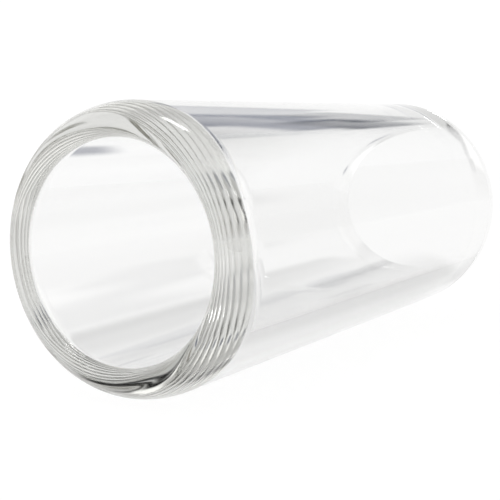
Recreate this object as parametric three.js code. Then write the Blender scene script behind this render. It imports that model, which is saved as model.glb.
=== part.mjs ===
// Glass guitar slide: a length of thick-walled glass tubing, cut square and fire-polished at both ends.
// Millimetres. The tube's axis is Y and Z is up. The origin is the centre of the tube.

import * as THREE from 'three';

// Driving dimensions, in millimetres.
const TUBE_LENGTH = 69;
const OUTER_DIAMETER = 29;
const BORE_DIAMETER = 22;

// The rounded edges of an end are quarter ellipses: so far across the wall, and so far along the tube.
const OUTER_EDGE_ACROSS = 2.0;
const OUTER_EDGE_ALONG = 4.0;
const BORE_EDGE_ACROSS = 1.2;
const BORE_EDGE_ALONG = 1.4;

// Facets. Diameters are measured across the flats, so opposite facets are exactly a diameter apart.
const FACETS_AROUND = 48;
const FACETS_IN_OUTER_EDGE = 6;
const FACETS_IN_BORE_EDGE = 4;

const HALF_LENGTH = TUBE_LENGTH / 2;
const OUTER_RADIUS = OUTER_DIAMETER / 2;
const BORE_RADIUS = BORE_DIAMETER / 2;
const QUARTER_TURN = Math.PI / 2;

// Points of one rounded edge, from startAngle through a quarter turn, in the plane of radius and height.
function quarterEllipse(centreRadius, centreHeight, across, along, startAngle, facets) {
  const points = [];
  for (let step = 0; step <= facets; step += 1) {
    const angle = startAngle + (QUARTER_TURN * step) / facets;
    points.push(
      new THREE.Vector2(
        centreRadius + across * Math.cos(angle),
        centreHeight + along * Math.sin(angle),
      ),
    );
  }
  return points;
}

// A rounded edge between an end and the outer wall.
function outerEdge(height, startAngle) {
  const centre = OUTER_RADIUS - OUTER_EDGE_ACROSS;
  return quarterEllipse(centre, height, OUTER_EDGE_ACROSS, OUTER_EDGE_ALONG, startAngle, FACETS_IN_OUTER_EDGE);
}

// A rounded edge between an end and the bore.
function boreEdge(height, startAngle) {
  const centre = BORE_RADIUS + BORE_EDGE_ACROSS;
  return quarterEllipse(centre, height, BORE_EDGE_ACROSS, BORE_EDGE_ALONG, startAngle, FACETS_IN_BORE_EDGE);
}

// The cut face of the wall: up the outer wall, over the +Y end, down the bore and round the -Y end.
// A flat ring is left on each end between the two rounded edges.
function wallProfile() {
  const outerHeight = HALF_LENGTH - OUTER_EDGE_ALONG;
  const boreHeight = HALF_LENGTH - BORE_EDGE_ALONG;
  const points = [
    ...outerEdge(-outerHeight, -QUARTER_TURN),
    ...outerEdge(outerHeight, 0),
    ...boreEdge(boreHeight, QUARTER_TURN),
    ...boreEdge(-boreHeight, 2 * QUARTER_TURN),
  ];
  points.push(points[0].clone());
  return points;
}

// The whole tube. The half-facet start angle puts a flat facet straight down, so the tube lies steady.
function glassTube() {
  const halfFacet = Math.PI / FACETS_AROUND;
  const acrossFlats = 1 / Math.cos(halfFacet);
  const profile = wallProfile().map((point) => new THREE.Vector2(point.x * acrossFlats, point.y));
  const geometry = new THREE.LatheGeometry(profile, FACETS_AROUND, halfFacet);
  const material = new THREE.MeshStandardMaterial({
    color: 0xe4ecef,
    roughness: 0.05,
    metalness: 0,
    transparent: true,
    opacity: 0.35,
  });
  const mesh = new THREE.Mesh(geometry, material);
  mesh.name = 'glass_tube';
  return mesh;
}

const group = new THREE.Group();
group.add(glassTube());

export default group;
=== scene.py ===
"""A clear glass guitar slide lying on a pale floor in a bright studio.

Everything is in metres, in the frame of the CAD model: the tube's axis is Y, Z is up,
and the origin is the centre of the tube.
"""
import math

import bpy
from mathutils import Matrix, Vector


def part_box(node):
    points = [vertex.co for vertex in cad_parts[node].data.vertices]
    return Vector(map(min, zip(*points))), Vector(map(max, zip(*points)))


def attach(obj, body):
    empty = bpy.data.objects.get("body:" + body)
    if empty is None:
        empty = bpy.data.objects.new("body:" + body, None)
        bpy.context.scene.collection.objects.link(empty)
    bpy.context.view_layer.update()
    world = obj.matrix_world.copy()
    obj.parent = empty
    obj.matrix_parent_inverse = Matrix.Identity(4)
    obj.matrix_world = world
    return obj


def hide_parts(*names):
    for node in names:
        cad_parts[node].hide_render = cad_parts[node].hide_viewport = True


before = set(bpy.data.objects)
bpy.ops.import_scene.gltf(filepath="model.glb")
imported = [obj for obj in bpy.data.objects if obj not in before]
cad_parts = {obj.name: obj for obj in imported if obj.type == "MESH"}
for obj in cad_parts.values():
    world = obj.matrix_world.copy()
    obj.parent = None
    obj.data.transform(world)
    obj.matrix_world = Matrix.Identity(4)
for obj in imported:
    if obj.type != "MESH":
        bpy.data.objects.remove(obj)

MM = 0.001

# ---- the camera, which looks down a little and across the tube from its near end
CAMERA_AZIMUTH = math.radians(31.6)
CAMERA_ELEVATION = math.radians(7.49)
CAMERA_LENS = 75.56
SENSOR_WIDTH = 36.0
CAMERA_CLIP_START = 5 * MM
NEAR_END_RIGHT = -13.05 * MM      # where the centre of the near end is, seen from the camera
NEAR_END_UP = -0.49 * MM
NEAR_END_AHEAD = 98.32 * MM

# ---- the glass tube's rounded ends
# They are a little rounder across than the CAD model's, so that its narrow flat ring becomes a round lip.
OUTER_EDGE_ACROSS = 2.15 * MM
OUTER_EDGE_ALONG = 4.0 * MM
BORE_EDGE_ACROSS = 1.35 * MM
BORE_EDGE_ALONG = 1.4 * MM
SEGMENTS_AROUND = 360
STEPS_IN_EDGE = 24
QUARTER_TURN = math.radians(90)

# ---- the studio: what the glass mirrors and bends, as seen from the tube
# Azimuth is in degrees clockwise from the way the camera looks, and elevation in degrees above the floor.
# Where two overlap, the later one is in front. The lamp is brighter than white.
# name, azimuth, half width, elevation, half height, softness, colour
STUDIO_SURFACES = [
    ("white_sweep_ahead", -15, 65, -5, 18, 12, (1.02, 1.02, 1.02)),
    ("ceiling", 0, 200, 70, 38, 8, (0.74, 0.735, 0.73)),
    ("softbox_left", -45, 32, 35, 24, 8, (1.25, 1.25, 1.25)),
    ("dark_room_behind", 180, 60, 25, 30, 8, (0.22, 0.20, 0.15)),
    ("dim_side_right", 95, 38, 20, 14, 16, (0.64, 0.63, 0.62)),
    ("dim_ceiling_ahead", 6, 34, 46, 16, 8, (0.60, 0.60, 0.59)),
    ("window_right", 85, 22, 40, 16, 6, (1.40, 1.39, 1.36)),
    ("dark_doorway_right", 47.5, 10.5, 44, 9, 5, (0.01, 0.01, 0.01)),
    ("dark_doorway_low", 56.5, 3.5, 32, 7, 4, (0.01, 0.01, 0.01)),
    ("dark_skirting_right", 62, 5, 22, 5, 4, (0.03, 0.03, 0.03)),
    ("blue_wall_ahead", 4.0, 7.0, 22.8, 4.7, 2.5, (0.20, 0.215, 0.27)),
    ("blue_wall_to_the_right", 14.5, 5, 23.4, 3.1, 2, (0.25, 0.265, 0.32)),
    ("blue_wall_core", 17, 4.6, 22, 2.1, 1.5, (0.00, 0.01, 0.04)),
    ("blue_strip_left", -8.5, 1.5, 7, 1.5, 2, (0.32, 0.33, 0.38)),
    ("lamp_overhead", 18, 28, 73, 4, 2, (10, 10, 10)),
]
STUDIO_WHITE = 0.9                 # where no surface is
BACKGROUND_WHITE = 1.05            # behind the tube, where the camera sees past it
HALF_CIRCLE = 180                  # in degrees

# ---- the glass
GLASS_IOR = 1.47
GLASS_TINT = (0.830, 0.832, 0.815)
GLASS_DENSITY = 20.0
WAVE_ACROSS = 7 * MM              # slow waves in the surface, left from softening the glass
WAVE_ALONG = 25 * MM
WAVE_HEIGHT = 0.002 * MM
DRAW_LINE_ACROSS = 0.9 * MM       # fine lines along the tube
DRAW_LINE_ALONG = 80 * MM
DRAW_LINE_HEIGHT = 0.0002 * MM
SMEAR_ACROSS = 6 * MM             # where fingers have left a faint film
SMEAR_ALONG = 9 * MM
CLEAN_BELOW = 0.3                 # of the noise that places them, which runs from 0 to 1
SMEARED_ABOVE = 0.7
CLEAN_ROUGHNESS = 0.01
SMEAR_ROUGHNESS = 0.04
STRIAE_ACROSS = 2 * MM            # slightly duller streaks in the glass
STRIAE_ALONG = 60 * MM
CLEAREST_GLASS = (1.0, 1.0, 1.0)
DULLEST_GLASS = (0.985, 0.986, 0.985)

# ---- the floor, and a black card on it that is painted shade on the floor in front of the near end
FLOOR_HALF_SIZE = 2.0
FLOOR_COLOUR = 0.12
FLOOR_ROUGHNESS = 0.8
FLOOR_GLOW = 0.94
FLOOR_DIMMING = 0.06              # how much dimmer its glow is through the glass than seen directly
# How bright the floor is under and beside the tube, across it: the shadows and the focused light it throws.
# Place across in metres, brightness.
FLOOR_SHADING = [
    (-20.5 * MM, 1.00), (-17.0 * MM, 0.76), (-13.0 * MM, 0.84), (-8.0 * MM, 0.95), (-4.5 * MM, 0.84),
    (1.0 * MM, 0.92), (4.5 * MM, 1.04), (7.0 * MM, 0.98), (9.5 * MM, 0.77), (13.0 * MM, 0.77),
    (19.0 * MM, 0.77), (25.0 * MM, 1.00),
]
FLOOR_SHADING_HALF_LENGTH = 40 * MM
FLOOR_SHADING_SOFTNESS = 8 * MM
CARD_HALF_WIDTH = 7 * MM
CARD_FRONT = -48 * MM
CARD_BACK = -35 * MM
CARD_THICKNESS = 0.3 * MM
SHADE_CARD_COLOUR = 0.01

# ---- how far light is followed: it is reflected many times inside the glass wall before it leaves
GLASS_BOUNCES = 32
DIFFUSE_BOUNCES = 4

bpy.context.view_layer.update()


def node_radii_and_length(name):
    """The outer radius, bore radius and half length of a tube node, read from its box and its mesh."""
    low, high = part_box(name)
    outer = (high[2] - low[2]) / 2
    half_length = (high[1] - low[1]) / 2
    corner_radii = [math.hypot(v.co.x, v.co.z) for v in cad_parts[name].data.vertices]
    bore = outer * min(corner_radii) / max(corner_radii)
    return outer, bore, half_length


def rounded_corner(centre_radius, centre_along, across, along, start_angle):
    """Points and outward normals of a quarter of an ellipse, as (radius, along) pairs."""
    points = []
    for step in range(STEPS_IN_EDGE + 1):
        angle = start_angle + QUARTER_TURN * step / STEPS_IN_EDGE
        point = (centre_radius + across * math.cos(angle), centre_along + along * math.sin(angle))
        normal = Vector((math.cos(angle) / across, math.sin(angle) / along)).normalized()
        points.append((point, normal))
    return points


def wall_profile(outer, bore, half_length):
    """The wall's closed outline: its four rounded corners, which straight sides join."""
    outer_centre = outer - OUTER_EDGE_ACROSS
    outer_along = half_length - OUTER_EDGE_ALONG
    bore_centre = bore + BORE_EDGE_ACROSS
    bore_along = half_length - BORE_EDGE_ALONG
    outer_edge = (OUTER_EDGE_ACROSS, OUTER_EDGE_ALONG)
    bore_edge = (BORE_EDGE_ACROSS, BORE_EDGE_ALONG)
    return (rounded_corner(outer_centre, -outer_along, *outer_edge, -QUARTER_TURN)
            + rounded_corner(outer_centre, outer_along, *outer_edge, 0)
            + rounded_corner(bore_centre, bore_along, *bore_edge, QUARTER_TURN)
            + rounded_corner(bore_centre, -bore_along, *bore_edge, 2 * QUARTER_TURN))


def make_tube():
    """The wall's outline turned round the Y axis, with smooth normals."""
    outer, bore, half_length = node_radii_and_length("glass_tube")
    profile = wall_profile(outer, bore, half_length)
    count = len(profile)
    vertices = []
    normals = []
    for segment in range(SEGMENTS_AROUND):
        turn = 2 * math.pi * segment / SEGMENTS_AROUND
        for (radius, along), (normal_out, normal_along) in profile:
            vertices.append((radius * math.sin(turn), along, radius * math.cos(turn)))
            normals.append((normal_out * math.sin(turn), normal_along, normal_out * math.cos(turn)))
    faces = []
    for segment in range(SEGMENTS_AROUND):
        here = segment * count
        there = (segment + 1) % SEGMENTS_AROUND * count
        for i in range(count):
            j = (i + 1) % count
            faces.append((here + i, there + i, there + j, here + j))
    mesh = bpy.data.meshes.new("clear_glass_tube")
    mesh.from_pydata(vertices, [], faces)
    mesh.polygons.foreach_set("use_smooth", [True] * len(faces))
    mesh.normals_split_custom_set_from_vertices(normals)
    tube = bpy.data.objects.new("clear_glass_tube", mesh)
    bpy.context.collection.objects.link(tube)
    return tube


def streaky_noise(tree, place, grain_across, grain_along, detail):
    """Noise from 0 to 1 whose grain has one size across the tube and another along it, in metres."""
    stretched = add_node(tree, "ShaderNodeMapping")
    tree.links.new(place, stretched.inputs["Vector"])
    stretched.inputs["Scale"].default_value = (1 / grain_across, 1 / grain_along, 1 / grain_across)
    noise = add_node(tree, "ShaderNodeTexNoise")
    tree.links.new(stretched.outputs[0], noise.inputs["Vector"])
    noise.inputs["Scale"].default_value = 1
    noise.inputs["Detail"].default_value = detail
    return noise.outputs["Fac"]


def glass_material():
    """Clear glass, faintly lined along the tube from being drawn, and faintly smeared by handling."""
    material = bpy.data.materials.new("clear_glass")
    material.use_nodes = True
    tree = material.node_tree
    shader = tree.nodes["Principled BSDF"]
    shader.inputs["Transmission Weight"].default_value = 1.0
    shader.inputs["IOR"].default_value = GLASS_IOR
    place = add_node(tree, "ShaderNodeTexCoord").outputs["Object"]

    waves = add_node(tree, "ShaderNodeBump")
    wave_noise = streaky_noise(tree, place, WAVE_ACROSS, WAVE_ALONG, detail=1)
    tree.links.new(wave_noise, waves.inputs["Height"])
    waves.inputs["Distance"].default_value = WAVE_HEIGHT
    draw_lines = add_node(tree, "ShaderNodeBump")
    line_noise = streaky_noise(tree, place, DRAW_LINE_ACROSS, DRAW_LINE_ALONG, detail=2)
    tree.links.new(line_noise, draw_lines.inputs["Height"])
    draw_lines.inputs["Distance"].default_value = DRAW_LINE_HEIGHT
    tree.links.new(waves.outputs["Normal"], draw_lines.inputs["Normal"])
    tree.links.new(draw_lines.outputs["Normal"], shader.inputs["Normal"])

    smears = add_node(tree, "ShaderNodeMapRange")
    smear_noise = streaky_noise(tree, place, SMEAR_ACROSS, SMEAR_ALONG, detail=4)
    tree.links.new(smear_noise, smears.inputs["Value"])
    smears.inputs["From Min"].default_value = CLEAN_BELOW
    smears.inputs["From Max"].default_value = SMEARED_ABOVE
    smears.inputs["To Min"].default_value = CLEAN_ROUGHNESS
    smears.inputs["To Max"].default_value = SMEAR_ROUGHNESS
    tree.links.new(smears.outputs[0], shader.inputs["Roughness"])

    striae_noise = streaky_noise(tree, place, STRIAE_ACROSS, STRIAE_ALONG, detail=2)
    striae = mixed(tree, striae_noise, CLEAREST_GLASS, DULLEST_GLASS)
    tree.links.new(striae, shader.inputs["Base Color"])

    absorption = add_node(tree, "ShaderNodeVolumeAbsorption")
    absorption.inputs["Color"].default_value = (*GLASS_TINT, 1)
    absorption.inputs["Density"].default_value = GLASS_DENSITY
    tree.links.new(absorption.outputs[0], tree.nodes["Material Output"].inputs["Volume"])
    return material


def flat_rectangle(name, low_x, high_x, low_y, high_y, height, grey, glow):
    """A level matt rectangle, which also shines by itself if its glow is more than 0."""
    mesh = bpy.data.meshes.new(name)
    corners = [(low_x, low_y), (high_x, low_y), (high_x, high_y), (low_x, high_y)]
    mesh.from_pydata([(x, y, height) for x, y in corners], [], [(0, 1, 2, 3)])
    rectangle = bpy.data.objects.new(name, mesh)
    bpy.context.collection.objects.link(rectangle)
    material = bpy.data.materials.new(name)
    material.use_nodes = True
    shader = material.node_tree.nodes["Principled BSDF"]
    shader.inputs["Base Color"].default_value = (grey, grey, grey, 1)
    shader.inputs["Roughness"].default_value = FLOOR_ROUGHNESS
    shader.inputs["Specular IOR Level"].default_value = 0
    shader.inputs["Emission Color"].default_value = (1, 1, 1, 1)
    shader.inputs["Emission Strength"].default_value = glow
    mesh.materials.append(material)
    return rectangle


def shade_floor(floor):
    """Painted shadows and painted focused light of the tube: darker and lighter stripes along it on the
    floor, which are seen only through the glass.
    """
    tree = floor.data.materials[0].node_tree
    axes = add_node(tree, "ShaderNodeSeparateXYZ")
    tree.links.new(add_node(tree, "ShaderNodeTexCoord").outputs["Object"], axes.inputs[0])
    across, along, _ = axes.outputs
    first, last = FLOOR_SHADING[0][0], FLOOR_SHADING[-1][0]
    place = maths(tree, "DIVIDE", maths(tree, "SUBTRACT", across, first), last - first)
    ramp = add_node(tree, "ShaderNodeValToRGB")
    tree.links.new(place, ramp.inputs["Fac"])
    ramp.color_ramp.interpolation = "EASE"
    stops = ramp.color_ramp.elements
    while len(stops) < len(FLOOR_SHADING):
        stops.new(0.5)    # anywhere, since its position is set next
    for stop, (across_metres, brightness) in zip(stops, FLOOR_SHADING):
        stop.position = (across_metres - first) / (last - first)
        stop.color = (brightness, brightness, brightness, 1)
    beside_tube = soft_window(tree, maths(tree, "ABSOLUTE", along), FLOOR_SHADING_HALF_LENGTH,
                              FLOOR_SHADING_SOFTNESS)
    shaded = mixed(tree, beside_tube, (1, 1, 1), ramp.outputs["Color"])
    dimmed = mixed(tree, FLOOR_DIMMING, shaded, (0, 0, 0))
    seen_directly = add_node(tree, "ShaderNodeLightPath").outputs["Is Camera Ray"]
    glow = mixed(tree, seen_directly, dimmed, (1, 1, 1))
    tree.links.new(glow, tree.nodes["Principled BSDF"].inputs["Emission Color"])


def make_floor():
    """A white floor, with a black card on it in front of the near end, which only the glass sees: painted
    shade on the floor there.
    """
    low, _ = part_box("glass_tube")
    floor = flat_rectangle("floor", -FLOOR_HALF_SIZE, FLOOR_HALF_SIZE, -FLOOR_HALF_SIZE, FLOOR_HALF_SIZE,
                           low[2], FLOOR_COLOUR, FLOOR_GLOW)
    shade_floor(floor)
    # The card is painted shade: a dark sheet standing for the shaded floor just in front of the near end.
    card = flat_rectangle("painted_shade_card", -CARD_HALF_WIDTH, CARD_HALF_WIDTH, CARD_FRONT, CARD_BACK,
                          low[2] + CARD_THICKNESS, SHADE_CARD_COLOUR, 0)
    card.visible_camera = False
    card.visible_diffuse = False
    card.visible_shadow = False


def add_node(tree, kind, **settings):
    """A new node, with its settings, such as operation="ADD", given by name."""
    node = tree.nodes.new(kind)
    for name, value in settings.items():
        setattr(node, name, value)
    return node


def maths(tree, operation, *values):
    """A Math node. Each value is a number or another node's output. Returns its output."""
    node = add_node(tree, "ShaderNodeMath", operation=operation)
    for socket, value in zip(node.inputs, values):
        if isinstance(value, (int, float)):
            socket.default_value = value
        else:
            tree.links.new(value, socket)
    return node.outputs[0]


def mixed(tree, factor, first, second):
    """A Mix node for colours. Each input is a value or another node's output. Returns its output."""
    node = add_node(tree, "ShaderNodeMix", data_type="RGBA")
    sockets = (node.inputs["Factor"], node.inputs["A"], node.inputs["B"])
    for socket, value in zip(sockets, (factor, first, second)):
        if isinstance(value, (int, float)):
            socket.default_value = value
        elif isinstance(value, tuple):
            socket.default_value = (*value, 1)
        else:
            tree.links.new(value, socket)
    return node.outputs["Result"]


def soft_window(tree, distance, half_size, softness):
    """1 where the distance is less than the half size, falling to 0 across the soft edge."""
    node = add_node(tree, "ShaderNodeMapRange", interpolation_type="SMOOTHSTEP")
    tree.links.new(distance, node.inputs["Value"])
    node.inputs["From Min"].default_value = half_size - softness / 2
    node.inputs["From Max"].default_value = half_size + softness / 2
    node.inputs["To Min"].default_value = 1
    node.inputs["To Max"].default_value = 0
    return node.outputs[0]


def make_world():
    """White all round, with soft-edged walls, softboxes and a ceiling for the glass to mirror."""
    world = bpy.data.worlds.new("studio")
    world.use_nodes = True
    tree = world.node_tree
    direction = add_node(tree, "ShaderNodeTexCoord").outputs["Generated"]
    turned = add_node(tree, "ShaderNodeVectorRotate", rotation_type="Z_AXIS")
    tree.links.new(direction, turned.inputs["Vector"])
    turned.inputs["Angle"].default_value = -CAMERA_AZIMUTH
    axes = add_node(tree, "ShaderNodeSeparateXYZ")
    tree.links.new(turned.outputs[0], axes.inputs[0])
    right, ahead, up = axes.outputs
    azimuth = maths(tree, "DEGREES", maths(tree, "ARCTAN2", right, ahead))
    elevation = maths(tree, "DEGREES", maths(tree, "ARCSINE", up))
    colour = (STUDIO_WHITE, STUDIO_WHITE, STUDIO_WHITE)
    for name, centre, half_width, height, half_height, softness, surface_colour in STUDIO_SURFACES:
        turn = maths(tree, "WRAP", maths(tree, "SUBTRACT", azimuth, centre), -HALF_CIRCLE, HALF_CIRCLE)
        sideways = maths(tree, "ABSOLUTE", turn)
        upwards = maths(tree, "ABSOLUTE", maths(tree, "SUBTRACT", elevation, height))
        inside = maths(tree, "MULTIPLY", soft_window(tree, sideways, half_width, softness),
                       soft_window(tree, upwards, half_height, softness))
        colour = mixed(tree, inside, colour, surface_colour)
        colour.node.label = name
    seen_directly = add_node(tree, "ShaderNodeLightPath").outputs["Is Camera Ray"]
    background = (BACKGROUND_WHITE, BACKGROUND_WHITE, BACKGROUND_WHITE)
    seen = mixed(tree, seen_directly, colour, background)
    tree.links.new(seen, tree.nodes["Background"].inputs["Color"])
    bpy.context.scene.world = world


def make_camera():
    """A camera placed by where the near end's centre lies in its view."""
    azimuth, elevation = CAMERA_AZIMUTH, CAMERA_ELEVATION
    right = Vector((math.cos(azimuth), math.sin(azimuth), 0))
    ahead = Vector((-math.sin(azimuth) * math.cos(elevation), math.cos(azimuth) * math.cos(elevation),
                    -math.sin(elevation)))
    up = right.cross(ahead)
    low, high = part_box("glass_tube")
    near_end = Vector(((low[0] + high[0]) / 2, low[1], (low[2] + high[2]) / 2))
    place = near_end - right * NEAR_END_RIGHT - up * NEAR_END_UP - ahead * NEAR_END_AHEAD
    data = bpy.data.cameras.new("camera")
    data.lens = CAMERA_LENS
    data.sensor_width = SENSOR_WIDTH
    data.clip_start = CAMERA_CLIP_START
    camera = bpy.data.objects.new("camera", data)
    camera.matrix_world = Matrix.Translation(place) @ Matrix((right, up, -ahead)).transposed().to_4x4()
    bpy.context.collection.objects.link(camera)
    bpy.context.scene.camera = camera


make_camera()
tube = make_tube()
tube.data.materials.append(glass_material())
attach(tube, "root")
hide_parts("glass_tube")
make_floor()
make_world()

scene = bpy.context.scene
scene.view_settings.view_transform = "Standard"
scene.cycles.max_bounces = GLASS_BOUNCES
scene.cycles.transmission_bounces = GLASS_BOUNCES
scene.cycles.glossy_bounces = GLASS_BOUNCES
scene.cycles.diffuse_bounces = DIFFUSE_BOUNCES
scene.cycles.sample_clamp_indirect = 0
